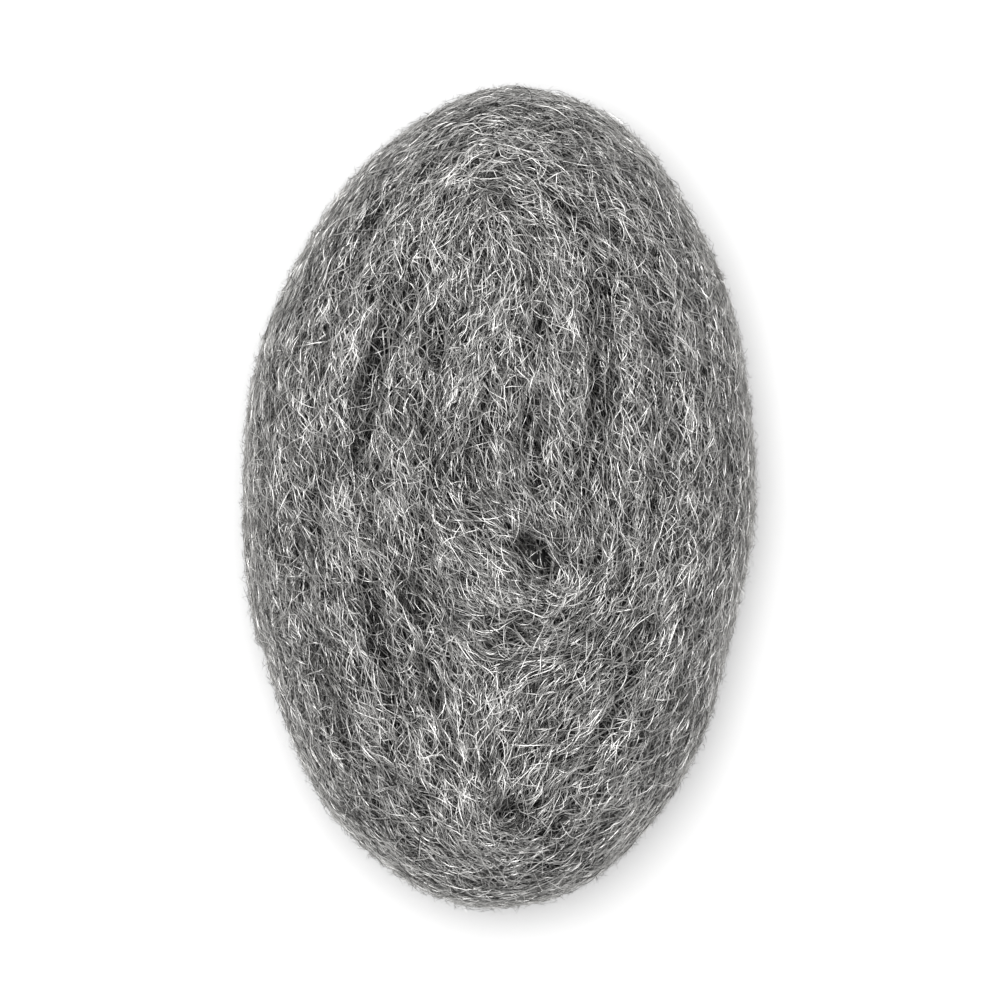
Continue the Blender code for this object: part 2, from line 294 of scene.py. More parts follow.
def heightOf(turnRadius, crown):
    # the section's height there: crown (1 - share^crown squareness)^(1 / shoulder squareness)
    share = np.clip(turnRadius / padForm["halfWidth"], 0.0, 1.0)
    return crown * (1 - share ** padForm["crownSquareness"]) ** (1 / padForm["shoulderSquareness"])


def rawPoint(turnRadius, angle, height, side, lift, bridging=0.0):
    # the skin's point, lifted along the section's normal; bridging strands dip less into the folds
    form = padForm
    x, y = windingPlace(turnRadius, angle)
    share = turnRadius / form["halfWidth"]
    onFace = smoothStep((form["halfWidth"] - turnRadius) / (form["rimTurn"] / 2)) * (1 - bridging)
    above = side > 0
    relief = np.zeros(x.shape)
    if above.any():
        relief[above] = upperRelief(turnRadius[above], angle[above], x[above], y[above])
    if (~above).any():
        relief[~above] = lowerRelief(turnRadius[~above], angle[~above], x[~above], y[~above])
    crown = np.where(above, upperCrown, lowerCrown)
    outward = share ** (form["crownSquareness"] - 1) / form["halfWidth"]
    upward = np.clip(height / crown, 0, 1) ** (form["shoulderSquareness"] - 1) / crown
    slope = np.hypot(outward, upward) + 1e-9
    outward, upward = outward / slope, upward / slope
    dentAngle, dentSpread, dentDepth = form["lowSide"]
    fromDent = np.mod(angle - dentAngle + math.pi, 2 * math.pi) - math.pi
    swell = (outlineSwell(angle) - dentDepth * np.exp(-((fromDent / dentSpread) ** 2))) * share**2
    spread = turnSpread(turnRadius, angle) + 1e-9
    outX = np.cos(angle) / spread
    outY = np.sin(angle) * turnRadius / np.hypot(turnRadius, eyeDistance) / spread
    pointX = x + np.cos(angle) * swell + headLean(y) * share**2 + outX * outward * lift
    pointY = y + np.sin(angle) * swell + outY * outward * lift
    pointZ = form["widestHeight"] + side * (height + relief * onFace + upward * lift)
    return np.stack([pointX, pointY, pointZ], axis=-1)


def outerSkin(rings, count, lift):
    # the whole skin on a grid: distance along the section by angle round the winding
    run = np.linspace(0.0, sectionRun, rings)
    angle = np.linspace(0.0, 2 * math.pi, count, endpoint=False)
    runGrid, angleGrid = np.meshgrid(run, angle, indexing="ij")
    radius, height, side = sectionAt(runGrid)
    return rawPoint(radius, angleGrid, height, side, np.full(radius.shape, lift))


plainSkin = outerSkin(*padForm["measuredGrid"], 0.0)
plainSkin[..., 2] = np.maximum(plainSkin[..., 2], 0.0)
plainLow, plainHigh = plainSkin.min(axis=(0, 1)), plainSkin.max(axis=(0, 1))
solidLow, solidHigh = (np.array(corner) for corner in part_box("steel_wool_pad"))
fitScale = (solidHigh - solidLow) / (plainHigh - plainLow)


def fitted(points, floor):
    # the raw form brought onto the solid's own box, and kept above the surface it lies on
    placed = (points - plainLow) * fitScale + solidLow
    placed[..., 2] = np.maximum(placed[..., 2], floor)
    return placed


print("stage: pad form ready")


def meshPiece(name, points, triangles, uvs, smooth):
    # points and triangles put straight into a mesh; uvs are one pair per triangle corner
    mesh = bpy.data.meshes.new(name)
    mesh.vertices.add(len(points))
    mesh.vertices.foreach_set("co", np.ascontiguousarray(points, np.float32).ravel())
    mesh.loops.add(triangles.size)
    mesh.loops.foreach_set("vertex_index", np.ascontiguousarray(triangles, np.int32).ravel())
    mesh.polygons.add(len(triangles))
    mesh.polygons.foreach_set("loop_start", np.arange(0, triangles.size, 3, dtype=np.int32))
    layer = mesh.uv_layers.new(name="OFBake")
    layer.uv.foreach_set("vector", np.ascontiguousarray(uvs, np.float32).ravel())
    mesh.update(calc_edges=True)
    if smooth:
        mesh.shade_smooth()
    else:
        mesh.shade_flat()
    piece = bpy.data.objects.new(name, mesh)
    bpy.context.scene.collection.objects.link(piece)
    return piece


# The matted body
matBody = {
    "rings": 90,
    "pointsPerRing": 160,
    "inset": 1.3 * mm,  # how far it lies below the strands' skin
    "floor": 0.3 * mm,
}


def woolMat():
    # the skin's grid a little inside the strands, its two middle lines closed by shared points
    rings, count = matBody["rings"], matBody["pointsPerRing"]
    points = fitted(outerSkin(rings, count, -matBody["inset"]), matBody["floor"])
    index = np.arange(rings * count).reshape(rings, count)
    mirror = (count // 2 - np.arange(count)) % count  # angle -> pi - angle folds the middle line shut
    for row in (0, rings - 1):
        index[row] = np.minimum(index[row], index[row][mirror])
    inner, outer = index[:-1], index[1:]
    innerNext, outerNext = np.roll(inner, -1, axis=1), np.roll(outer, -1, axis=1)
    triangles = np.stack([inner, outer, outerNext, inner, outerNext, innerNext], axis=-1).reshape(-1, 3)
    across, around = np.meshgrid(np.arange(rings - 1), np.arange(count), indexing="ij")
    corners = [(0, 0), (1, 0), (1, 1), (0, 0), (1, 1), (0, 1)]
    uvs = np.stack(
        [np.stack([(around + turn) / count, (across + step) / (rings - 1)], -1) for step, turn in corners],
        axis=2,
    ).reshape(-1, 2)
    whole = np.all(
        [triangles[:, a] != triangles[:, b] for a, b in ((0, 1), (1, 2), (2, 0))], axis=0
    )
    uvs = uvs.reshape(-1, 3, 2)[whole].reshape(-1, 2)
    used, triangles = np.unique(triangles[whole], return_inverse=True)
    return meshPiece("wool_mat", points.reshape(-1, 3)[used], triangles.reshape(-1, 3), uvs, True)


# The strands

# where a strand lies on the baked map: its tone across it and its length along it
strandMap = {"margin": 0.02, "toneShare": 0.94, "ribbonEdges": 0.01, "prismSides": 0.008, "endMargin": 0.03}


def onStrandMap(tones, sides, steps):
    # u from the strand's tone with a sliver for each side, v from the share of its steps
    chart = strandMap
    u = tones[:, None, None] * chart["toneShare"] + chart["margin"] + sides[None]
    v = np.broadcast_to(chart["endMargin"] + (1 - 2 * chart["endMargin"]) * steps[None], u.shape)
    return np.stack([u, v], -1).reshape(-1, 2)


def strandFrame(paths, normals):
    # unit vectors across each path and outwards from the pad, both square to the path
    tangent = np.gradient(paths, axis=1)
    tangent /= np.linalg.norm(tangent, axis=2, keepdims=True) + 1e-12
    side = np.cross(normals, tangent)
    side /= np.linalg.norm(side, axis=2, keepdims=True) + 1e-12
    return side, np.cross(tangent, side)


# ends: share of the full width; fullness: how soon it is reached; twist: usual radians from end to end
ribbonForm = {"ends": 0.45, "fullness": 0.5, "twist": 1.0}
prismForm = {"ends": 0.55}


def ribbonPiece(name, paths, normals, widths, tones, rolls, twists):
    # each path carries a flat shaving, twisted as it goes and narrower at both ends
    count, steps = paths.shape[:2]
    side, up = strandFrame(paths, normals)
    along = np.linspace(0.0, 1.0, steps)
    ends = ribbonForm["ends"]
    width = widths[:, None] * (ends + (1 - ends) * np.sin(math.pi * along) ** ribbonForm["fullness"]) / 2
    roll = rolls[:, None] + twists[:, None] * (along - 0.5)
    edge = side * (np.cos(roll) * width)[..., None] + up * (np.sin(roll) * width)[..., None]
    points = np.stack([paths - edge, paths + edge], axis=2)  # count, steps, two edges, xyz
    here = 2 * np.arange(steps - 1)
    faces = np.stack([here, here + 2, here + 3, here, here + 3, here + 1], -1).reshape(-1, 3)
    triangles = (faces[None] + 2 * steps * np.arange(count)[:, None, None]).reshape(-1, 3)
    uvs = onStrandMap(tones, (faces % 2) * strandMap["ribbonEdges"], (faces // 2) / (steps - 1))
    return meshPiece(name, points.reshape(-1, 3), triangles, uvs, True)


def prismPiece(name, paths, normals, widths, tones, rolls):
    # each path carries a three-sided section, tapered to a point at both ends
    count, steps = paths.shape[:2]
    side, up = strandFrame(paths, normals)
    along = np.linspace(0.0, 1.0, steps)
    ends = prismForm["ends"]
    width = widths[:, None] * (ends + (1 - ends) * np.sin(math.pi * along)) / 2
    rings = []
    for corner in range(3):
        turn = rolls[:, None] + 2 * math.pi * corner / 3 + along
        edge = side * (np.cos(turn) * width)[..., None] + up * (np.sin(turn) * width)[..., None]
        rings.append(paths + edge)
    rings = np.stack(rings, axis=2)[:, 1:-1]  # count, inner steps, 3 corners, xyz
    inner = steps - 2
    perStrand = 3 * inner + 2
    points = np.concatenate([paths[:, :1], rings.reshape(count, -1, 3), paths[:, -1:]], axis=1)
    first = 1 + 3 * np.arange(inner)
    faces, corners = [], []  # corners hold each vertex's (step, side) for its uv
    for turn in range(3):
        after = (turn + 1) % 3
        faces.append([0, first[0] + after, first[0] + turn])
        corners.append([(0, turn), (1, turn + 1), (1, turn)])
        for place in range(inner - 1):
            here, there = first[place], first[place + 1]
            faces.append([here + turn, here + after, there + after])
            corners.append([(place + 1, turn), (place + 1, turn + 1), (place + 2, turn + 1)])
            faces.append([here + turn, there + after, there + turn])
            corners.append([(place + 1, turn), (place + 2, turn + 1), (place + 2, turn)])
        faces.append([first[-1] + turn, first[-1] + after, perStrand - 1])
        corners.append([(inner, turn), (inner, turn + 1), (inner + 1, turn)])
    faces, corners = np.array(faces), np.array(corners, float)
    triangles = (faces[None] + perStrand * np.arange(count)[:, None, None]).reshape(-1, 3)
    uvs = onStrandMap(tones, corners[..., 1] * strandMap["prismSides"], corners[..., 0] / (steps - 1))
    return meshPiece(name, points.reshape(-1, 3), triangles, uvs, False)


# half-turn points that the winding bends round, and the one place where three ways meet, in mm
turnPoints = [complex(-1.0, 41.8), complex(1.3, -43.5), complex(9.5, -12.2)]
threeWayPoint = complex(-0.4, -23.0)
bendLength = 10 * mm  # a strand's bend is in radians over this length
waveShares = (0.2, 1.0)  # of a family's wave that a strand has, from the straightest to the curliest
divePower = 4  # so that only a strand's ends dive
spotsTried = {"face": 2, "skin": 3}  # for each strand wanted, because some starts fall away
evenSteps = (0.7548776662, 0.5698402910)  # one over the plastic number and over its square
fieldWaves = {"count": 20, "sizes": (0.6, 1.5)}
lockEdges = {"starts": 0.2, "width": 0.9}  # where in its random field an opening between locks begins
sideWalk = {
    "leastGirth": 4 * mm,  # keeps a step from turning too far round near the middle lines
    "endClearance": 0.1 * mm,
    "crowding": 0.3,  # share of the strands that stay where the turns crowd most
    "normalProbe": 0.5 * mm,
    "leaving": 1.6,  # power of the share of its length at which a free end leaves the skin
    # how far from the widest line the painted rim light reaches
    "edgeLightReach": 8 * mm,
}
tuftSwells = [  # waves along the section, waves round it, start
    (2.1, 0.9, 0.0), (-1.3, 1.7, 1.1), (0.7, -2.4, 2.3), (2.9, 2.2, 0.5), (-2.6, 0.6, 4.0), (0.4, 3.1, 5.2),
]
strandFloor = 0.1 * mm  # how far strands stay above the surface that the pad lies on
weltReach = 3.2 * mm  # how far to either side strands follow a welt
shoulder = {"starts": 0.7, "width": 0.25, "drop": 0.6 * mm}  # where face strands come down to meet the side's
sinking = {"eyes": 0.75, "gaps": 0.3}  # how much deeper than the fold itself strands dive in


def weltWay(x, y, path):
    # how near the path is, exp(-(distance / reach)^2), and which way it runs there
    knots = roundedPath(path)
    ways = np.arctan2(*np.diff(knots, axis=0).T[::-1])
    middles = (knots[1:] + knots[:-1]) / 2
    away = np.hypot(x[:, None] - middles[:, 0], y[:, None] - middles[:, 1])
    return np.exp(-((away.min(axis=1) / weltReach) ** 2)), ways[away.argmin(axis=1)]


def windingWay(x, y):
    # i times the root of the product of (z - turn point), over (z - three-way point), runs round the
    # winding; near a welt it is eased into the welt's own way, both as doubled angles
    place = (x + 1j * y) / mm
    value = (place - turnPoints[0]) * (place - turnPoints[1]) * (place - turnPoints[2])
    double = -value / (place - threeWayPoint + 1e-6)
    double = double / (np.abs(double) + 1e-12)
    for path in welts:
        near, way = weltWay(x, y, path)
        double = (1 - near) * double + near * np.exp(2j * way)
    return np.angle(double) / 2


def softField(rng, acrossLength, alongLength):
    # a smooth random field about 0: the sum of cosine waves, each with its own way, length and phase,
    # over the root of half their number
    waves = fieldWaves["count"]
    turn, phase = rng.uniform(0, 2 * math.pi, (2, waves))
    size = rng.uniform(*fieldWaves["sizes"], waves)
    across = 2 * math.pi * np.cos(turn) * size / acrossLength
    along = 2 * math.pi * np.sin(turn) * size / alongLength
    return lambda p, q: sum(
        np.cos(across[i] * p + along[i] * q + phase[i]) for i in range(waves)
    ) / math.sqrt(waves / 2)


def evenSpots(count):
    # places spread evenly over a square: multiples of two irrational steps, wrapped to 0..1
    place = np.arange(1, count + 1)[:, None]
    return (0.5 + place * evenSteps) % 1.0


def sunk(radius, angle, x, y):
    # 0 on the crests to 1 in the bottom of a fold: 1 - exp(-depth^2), depth in mm
    depth = (eyeDepth(x, y) + gapDepth(x, y) + woundFolds(radius, angle)) / mm
    return 1 - np.exp(-(depth**2))


def lockOpen(family, across, along, rng):
    # which starts are kept, by a chance of 1 - opening x lock gaps: strands lie in locks, with long
    # narrow openings between them
    field = softField(rng, family["lockWidth"] * mm, family["lockLength"] * mm)
    opening = smoothStep((field(across, along) - lockEdges["starts"]) / lockEdges["width"])
    return rng.random(across.shape) > opening * family["lockGaps"]


def wander(family, count, rng):
    # each strand's own lean, bend and wave, as a function that gives its turn after a distance
    scatter = rng.normal(0, math.radians(family["scatter"]), count)
    bend = rng.normal(0, family["bend"], count)
    wave = rng.uniform(*waveShares, count) * family["wave"]
    waveLength = rng.uniform(*family["waveLength"], count) * mm
    phase = rng.uniform(0, 2 * math.pi, count)

    def turned(gone):
        # lean + bend x distance + wave x sin(2 pi distance / wave length + phase)
        return scatter + bend * gone / bendLength + wave * np.sin(2 * math.pi * gone / waveLength + phase)

    return turned


def sheetLeans(family, rng):
    # each sheet of strands has a field of its own that leans all its strands together
    size = family["leanLength"] * mm
    fields = [softField(rng, size, size) for _ in range(family["sheets"])]
    most = math.radians(family["sheetLean"])
    return lambda sheet, p, q: most * sum((sheet == i) * field(p, q) for i, field in enumerate(fields))


def tuftHeight(along, around):
    # a shared swell of small tufts over the side: twice the mean of crossing sines
    swells = [np.sin((down * along + onward * around) / mm + start) for down, onward, start in tuftSwells]
    return sum(swells) / (len(tuftSwells) / 2)


def liftAlong(family, sheet, rng):
    # a strand's height over the skin: its sheet's height, an arch, and ends that dive in
    count, share = len(sheet), np.linspace(0, 1, family["steps"])
    low, high = family["lift"]
    height = low + (high - low) * (sheet + rng.random(count)) / family["sheets"]
    arch = rng.uniform(*family["arch"], count)[:, None] * np.sin(math.pi * share)
    dive = family["dive"] * np.abs(2 * share - 1) ** divePower
    return (height[:, None] + arch - dive) * mm


def faceStarts(family, rng):
    # even places, each within its strand's own limit so that no line shows, fewer in folds and openings
    spots = evenSpots(spotsTried["face"] * family["count"])
    x, y = ((2 * spots - 1) * (padForm["halfWidth"], padForm["halfLength"])).T
    radius, angle = windingOf(x, y)
    limit = rng.uniform(*family["reach"], len(x)) * padForm["halfWidth"]
    keep = radius < limit
    keep &= rng.random(len(x)) > family["openings"] * sunk(radius, angle, x, y)
    keep &= lockOpen(family, radius, angle * eyeDistance, rng)
    return [values[keep][: family["count"]] for values in (x, y, limit)]


def faceWalk(family, x, y, limit, sheet, rng):
    # each step follows the winding, turned by its sheet's lean and its own wander
    count, steps = len(x), family["steps"]
    lean = sheetLeans(family, rng)
    length = rng.uniform(*family["length"], count) * mm
    turned = wander(family, count, rng)
    stride = length / (steps - 1)
    way = windingWay(x, y) + math.pi * rng.integers(0, 2, count)  # either way along it
    track = [(x, y)]
    for step in range(steps - 1):
        fresh = windingWay(x, y)
        way = np.where(np.cos(fresh - way) < 0, fresh + math.pi, fresh)
        heading = way + lean(sheet, x, y) + turned(stride * (step + 0.5) - length / 2)
        x, y = x + np.cos(heading) * stride, y + np.sin(heading) * stride
        radius, angle = windingOf(x, y)
        x, y = windingPlace(np.minimum(radius, limit), angle)
        track.append((x, y))
    return np.array(track).transpose(1, 2, 0)  # x and y, each of them strands by steps


def facePaths(family, rng):
    # walks over the upper face, lifted off it, and let down in its eyes and gaps and at its shoulder
    x, y, limit = faceStarts(family, rng)
    sheet = rng.integers(0, family["sheets"], len(x))
    x, y = faceWalk(family, x, y, limit, sheet, rng)
    radius, angle = windingOf(x, y)
    sink = sinking["eyes"] * eyeDepth(x, y) + sinking["gaps"] * gapDepth(x, y)
    outward = smoothStep((radius / padForm["halfWidth"] - shoulder["starts"]) / shoulder["width"])
    lift = liftAlong(family, sheet, rng) - family["sinking"] * sink - shoulder["drop"] * outward
    height = heightOf(radius, upperCrown)
    points = rawPoint(radius, angle, height, np.ones(radius.shape), lift, family["bridging"])
    normals = np.broadcast_to(np.array([0.0, 0.0, 1.0]), points.shape)
    return fitted(points, strandFloor), normals, np.zeros(len(points))


def girthAt(run, angle):
    # how far the skin goes round for each radian of the angle there
    radius = sectionAt(run)[0]
    return np.hypot(radius * np.sin(angle), np.hypot(radius, eyeDistance) * np.cos(angle))


def skinStarts(family, rng):
    # even places over the family's stretch of the section, thinned by the skin's area and in openings
    low, high = family["section"]
    spots = evenSpots(spotsTried["skin"] * family["count"])
    run = (low + (high - low) * spots[:, 0]) * sectionRun
    angle = spots[:, 1] * 2 * math.pi
    crowded = sideWalk["crowding"]
    area = girthAt(run, angle) * (crowded + (1 - crowded) * turnSpread(sectionAt(run)[0], angle))
    keep = rng.random(len(run)) < area / padForm["halfLength"]
    keep &= lockOpen(family, run, angle * eyeDistance, rng)
    return run[keep][: family["count"]], angle[keep][: family["count"]]


def skinWalk(family, run, angle, sheet, rng):
    # each step goes round with the winding, turned by its sheet's lean and its own wander
    count, steps = len(run), family["steps"]
    lean = sheetLeans(family, rng)
    length = rng.uniform(*family["length"], count) * mm
    turned = wander(family, count, rng)
    direction = np.where(rng.random(count) < 0.5, 1.0, -1.0)  # either way round
    stride = length / (steps - 1)
    clear = sideWalk["endClearance"]
    track = [(run, angle)]
    for step in range(steps - 1):
        leaning = direction * lean(sheet, run, angle * eyeDistance)
        heading = leaning + turned(stride * (step + 0.5) - length / 2)
        girth = np.maximum(girthAt(run, angle), sideWalk["leastGirth"])
        angle = angle + direction * np.cos(heading) * stride / girth
        run = np.clip(run + np.sin(heading) * stride, clear, sectionRun - clear)
        track.append((run, angle))
    return np.array(track).transpose(1, 2, 0)  # distance and angle, each of them strands by steps


def skinPaths(family, rng):
    # walks over the side and underside, lifted off it over its tufts, some with a free end that leaves it;
    # also gives each strand's share of painted rim light
    run, angle = skinStarts(family, rng)
    sheet = rng.integers(0, family["sheets"], len(run))
    run, angle = skinWalk(family, run, angle, sheet, rng)
    radius, height, side = sectionAt(run)
    lift = liftAlong(family, sheet, rng)
    lift = lift + family["tufts"] * mm * tuftHeight(run, angle * eyeDistance)
    if family.get("leaveEnd"):
        share = np.linspace(0, 1, family["steps"])
        lift = lift + rng.uniform(*family["leaveEnd"], len(run))[:, None] * mm * share ** sideWalk["leaving"]
    points = rawPoint(radius, angle, height, side, lift)
    normals = rawPoint(radius, angle, height, side, lift + sideWalk["normalProbe"]) - points
    normals /= np.linalg.norm(normals, axis=2, keepdims=True) + 1e-12
    # painted light: strands near the widest line are lightened, standing in for the pale surroundings that
    # light the rim
    nearEdge = np.exp(-(((run.mean(axis=1) - rimRun) / sideWalk["edgeLightReach"]) ** 2))
    return fitted(points, strandFloor), normals, family.get("edgeLightPainted", 0.0) * nearEdge


# Lengths in mm, angles in degrees; lift is over the skin; tone runs from 0 dark to 1 pale, spread over
# its range as a beta distribution; sheets are layers that lean together. The layers' tone ranges are partly
# painted light and shade: deeper layers darker, the top ones paler.
families = {
    "bedded_strands": {  # the deep layer, closely bunched, nearly black as painted shade under the layers above
        "where": "face", "shape": "ribbon", "count": 9000, "steps": 5, "seed": 11,
        "length": (3.0, 8.0), "reach": (0.84, 1.0), "scatter": 24, "bend": 0.7, "wave": 0.15,
        "waveLength": (3.0, 8.0), "width": (0.09, 0.12), "lift": (-0.6, -0.2), "roll": 0.6,
        "arch": (0.0, 0.2), "dive": 0.2, "tone": (0.0, 0.05), "spread": (0.8, 1.2),
        "sinking": 1.0, "bridging": 0.0,
        "sheets": 3, "sheetLean": 8, "leanLength": 8.0, "openings": 0.3,
        "lockWidth": 1.6, "lockLength": 6.0, "lockGaps": 0.0,
    },
    "upper_strands": {  # the bunched surface
        "where": "face", "shape": "ribbon", "count": 16500, "steps": 6, "seed": 12,
        "length": (3.5, 8.0), "reach": (0.84, 1.0), "scatter": 24, "bend": 1.7, "wave": 0.2,
        "waveLength": (4.0, 7.0), "width": (0.07, 0.095), "lift": (-0.3, 0.1), "roll": 0.6,
        "arch": (0.0, 0.3), "dive": 0.25, "tone": (0.0, 1.0), "spread": (0.18, 0.45),
        "sinking": 1.0, "bridging": 0.05,
        "sheets": 4, "sheetLean": 4, "leanLength": 6.0, "openings": 0.5,
        "lockWidth": 1.4, "lockLength": 5.0, "lockGaps": 0.0,
    },
    "top_strands": {  # lying free on the surface, leaning pale as painted light on the uppermost layer
        "where": "face", "shape": "ribbon", "count": 16500, "steps": 7, "seed": 18,
        "length": (3.0, 8.5), "reach": (0.84, 1.0), "scatter": 27, "bend": 2.0, "wave": 0.22,
        "waveLength": (4.0, 7.0), "width": (0.075, 0.095), "lift": (0.1, 0.5), "roll": 0.6,
        "arch": (0.0, 0.4), "dive": 0.3, "tone": (0.0, 1.0), "spread": (0.55, 0.34),
        "sinking": 1.0, "bridging": 0.15,
        "sheets": 3, "sheetLean": 4, "leanLength": 6.0, "openings": 0.5,
        "lockWidth": 1.4, "lockLength": 5.0, "lockGaps": 0.0,
    },
    "crossing_curls": {  # loose curls over it, at all angles, kept pale as painted light on top
        "where": "face", "shape": "ribbon", "count": 3500, "steps": 7, "seed": 13,
        "length": (3.0, 7.0), "reach": (0.84, 1.0), "scatter": 50, "bend": 4.0, "wave": 0.2,
        "waveLength": (3.0, 6.0), "width": (0.06, 0.08), "lift": (0.1, 0.6), "roll": 0.6,
        "arch": (0.0, 0.4), "dive": 0.3, "tone": (0.4, 1.0), "spread": (1.0, 1.0),
        "sinking": 0.3, "bridging": 0.5,
        "sheets": 1, "sheetLean": 15, "leanLength": 8.0, "openings": 0.2,
        "lockWidth": 1.6, "lockLength": 5.0, "lockGaps": 0.0,
    },
    "rim_strands": {  # the side's deeper layer
        "where": "skin", "shape": "ribbon", "count": 13000, "steps": 5, "seed": 14,
        "length": (4.0, 9.0), "section": (0.24, 0.74), "scatter": 17, "bend": 0.9, "wave": 0.14,
        "waveLength": (4.0, 8.0), "width": (0.07, 0.095), "lift": (-1.0, -0.5), "roll": 1.0,
        "arch": (0.0, 0.2), "dive": 0.15, "tone": (0.0, 1.0), "spread": (0.22, 0.35),
        "edgeLightPainted": 0.65, "tufts": 0.2,
        "sheets": 4, "sheetLean": 4, "leanLength": 5.0,
        "lockWidth": 1.5, "lockLength": 5.0, "lockGaps": 0.1,
    },
    "rim_top_strands": {  # the side's outer layer, made palest at the widest line by painted rim light
        "where": "skin", "shape": "ribbon", "count": 18000, "steps": 5, "seed": 19,
        "length": (3.5, 8.0), "section": (0.25, 0.68), "scatter": 20, "bend": 1.2, "wave": 0.18,
        "waveLength": (4.0, 7.0), "width": (0.065, 0.09), "lift": (-0.65, -0.3), "roll": 1.0,
        "arch": (0.0, 0.2), "dive": 0.15, "tone": (0.0, 1.0), "spread": (0.8, 0.3),
        "edgeLightPainted": 0.85, "tufts": 0.25,
        "sheets": 3, "sheetLean": 4, "leanLength": 5.0,
        "lockWidth": 1.5, "lockLength": 5.0, "lockGaps": 0.15,
    },
    "under_strands": {  # the underside, pressed and coarser
        "where": "skin", "shape": "ribbon", "count": 8000, "steps": 6, "seed": 15,
        "length": (3.5, 9.0), "section": (0.66, 1.0), "scatter": 24, "bend": 0.8, "wave": 0.2,
        "waveLength": (3.0, 7.0), "width": (0.13, 0.18), "lift": (-0.4, 0.3), "roll": 0.8,
        "arch": (0.0, 0.3), "dive": 0.25, "tone": (0.1, 0.95), "spread": (0.7, 0.7), "tufts": 0.0,
        "sheets": 4, "sheetLean": 20, "leanLength": 7.0,
        "lockWidth": 2.0, "lockLength": 8.0, "lockGaps": 0.3,
    },
    "edge_fuzz": {  # short ends that stand out round the rim
        "where": "skin", "shape": "ribbon", "count": 12000, "steps": 4, "seed": 20,
        "length": (1.0, 2.4), "section": (0.36, 0.58), "scatter": 65, "bend": 3.0, "wave": 0.2,
        "waveLength": (2.0, 4.0), "width": (0.045, 0.06), "lift": (-0.6, -0.25), "roll": 1.5,
        "arch": (0.0, 0.1), "dive": 0.0, "leaveEnd": (-0.1, 1.0), "tone": (0.6, 1.0), "spread": (1.0, 1.0),
        "sheets": 1, "sheetLean": 10, "leanLength": 8.0, "tufts": 0.3,
        "lockWidth": 1.5, "lockLength": 4.0, "lockGaps": 0.5,
    },
    "stray_hairs": {  # a few longer ends that stand clear of the pad
        "where": "skin", "shape": "prism", "count": 900, "steps": 6, "seed": 16,
        "length": (1.5, 4.0), "section": (0.2, 0.7), "scatter": 70, "bend": 3.0, "wave": 0.3,
        "waveLength": (3.0, 6.0), "width": (0.05, 0.07), "lift": (-0.5, -0.1), "roll": 0.0,
        "arch": (0.0, 0.3), "dive": 0.0, "leaveEnd": (0.2, 1.0), "tone": (0.3, 0.9), "spread": (2.0, 2.0),
        "sheets": 1, "sheetLean": 10, "leanLength": 8.0, "tufts": 0.0,
        "lockWidth": 3.0, "lockLength": 14.0, "lockGaps": 0.0,
    },
}


def strandFamily(name):
    # walks a family's paths, draws its widths and tones, and makes its one mesh
    family = families[name]
    rng = np.random.default_rng(family["seed"])
    paths, normals, rimLightTint = (facePaths if family["where"] == "face" else skinPaths)(family, rng)
    count = len(paths)
    widths = rng.uniform(*family["width"], count) * mm
    low, high = family["tone"]
    tones = low + (high - low) * rng.beta(*family["spread"], count)
    # painted rim light: tone raised towards pale near the widest line
    tones = tones + (1 - tones) * rimLightTint
    if family["shape"] == "ribbon":
        rolls, twists = rng.normal(0, family["roll"], count), rng.normal(0, ribbonForm["twist"], count)
        piece = ribbonPiece(name, paths, normals, widths, tones, rolls, twists)
    else:
        piece = prismPiece(name, paths, normals, widths, tones, rng.uniform(0, 2 * math.pi, count))
    print(f"stage: {name}, {count} strands, {len(piece.data.polygons)} faces")
    return piece


# Materials
def newGroup(name, inputs, outputs):
    # an empty shader node group with these sockets
    group = bpy.data.node_groups.new(name, "ShaderNodeTree")
    for label, kind, value in inputs:
        socket = group.interface.new_socket(label, in_out="INPUT", socket_type=kind)
        if value is not None:
            socket.default_value = value
    for label, kind in outputs:
        group.interface.new_socket(label, in_out="OUTPUT", socket_type=kind)
    return group, group.nodes.new("NodeGroupInput"), group.nodes.new("NodeGroupOutput")


def newMaterial(name, look):
    # a material with its shader's plain values set
    material = bpy.data.materials.new(name)
    material.use_nodes = True
    shader = material.node_tree.nodes["Principled BSDF"]
    shader.inputs["Metallic"].default_value = look["metallic"]
    shader.inputs["Roughness"].default_value = look["roughness"]
    return material, material.node_tree, shader


def mathNode(tree, operation, *values):
    # one math node, with each input joined to a socket or set to a plain number
    node = tree.nodes.new("ShaderNodeMath")
    node.operation = operation
    for entry, value in zip(node.inputs, values):
        if isinstance(value, bpy.types.NodeSocket):
            tree.links.new(value, entry)
        else:
            entry.default_value = value
    return node.outputs[0]


def colourMix(tree, share, first, second):
    # first x (1 - share) + second x share
    node = tree.nodes.new("ShaderNodeMix")
    node.data_type = "RGBA"
    for label, value in (("Factor", share), ("A", first), ("B", second)):
        tree.links.new(value, node.inputs[label])
    return node.outputs["Result"]


def mapPlace(tree):
    # the two coordinates of the baked map
    place = tree.nodes.new("ShaderNodeUVMap")
    place.uv_map = "OFBake"
    parts = tree.nodes.new("ShaderNodeSeparateXYZ")
    tree.links.new(place.outputs["UV"], parts.inputs[0])
    return parts.outputs["X"], parts.outputs["Y"]


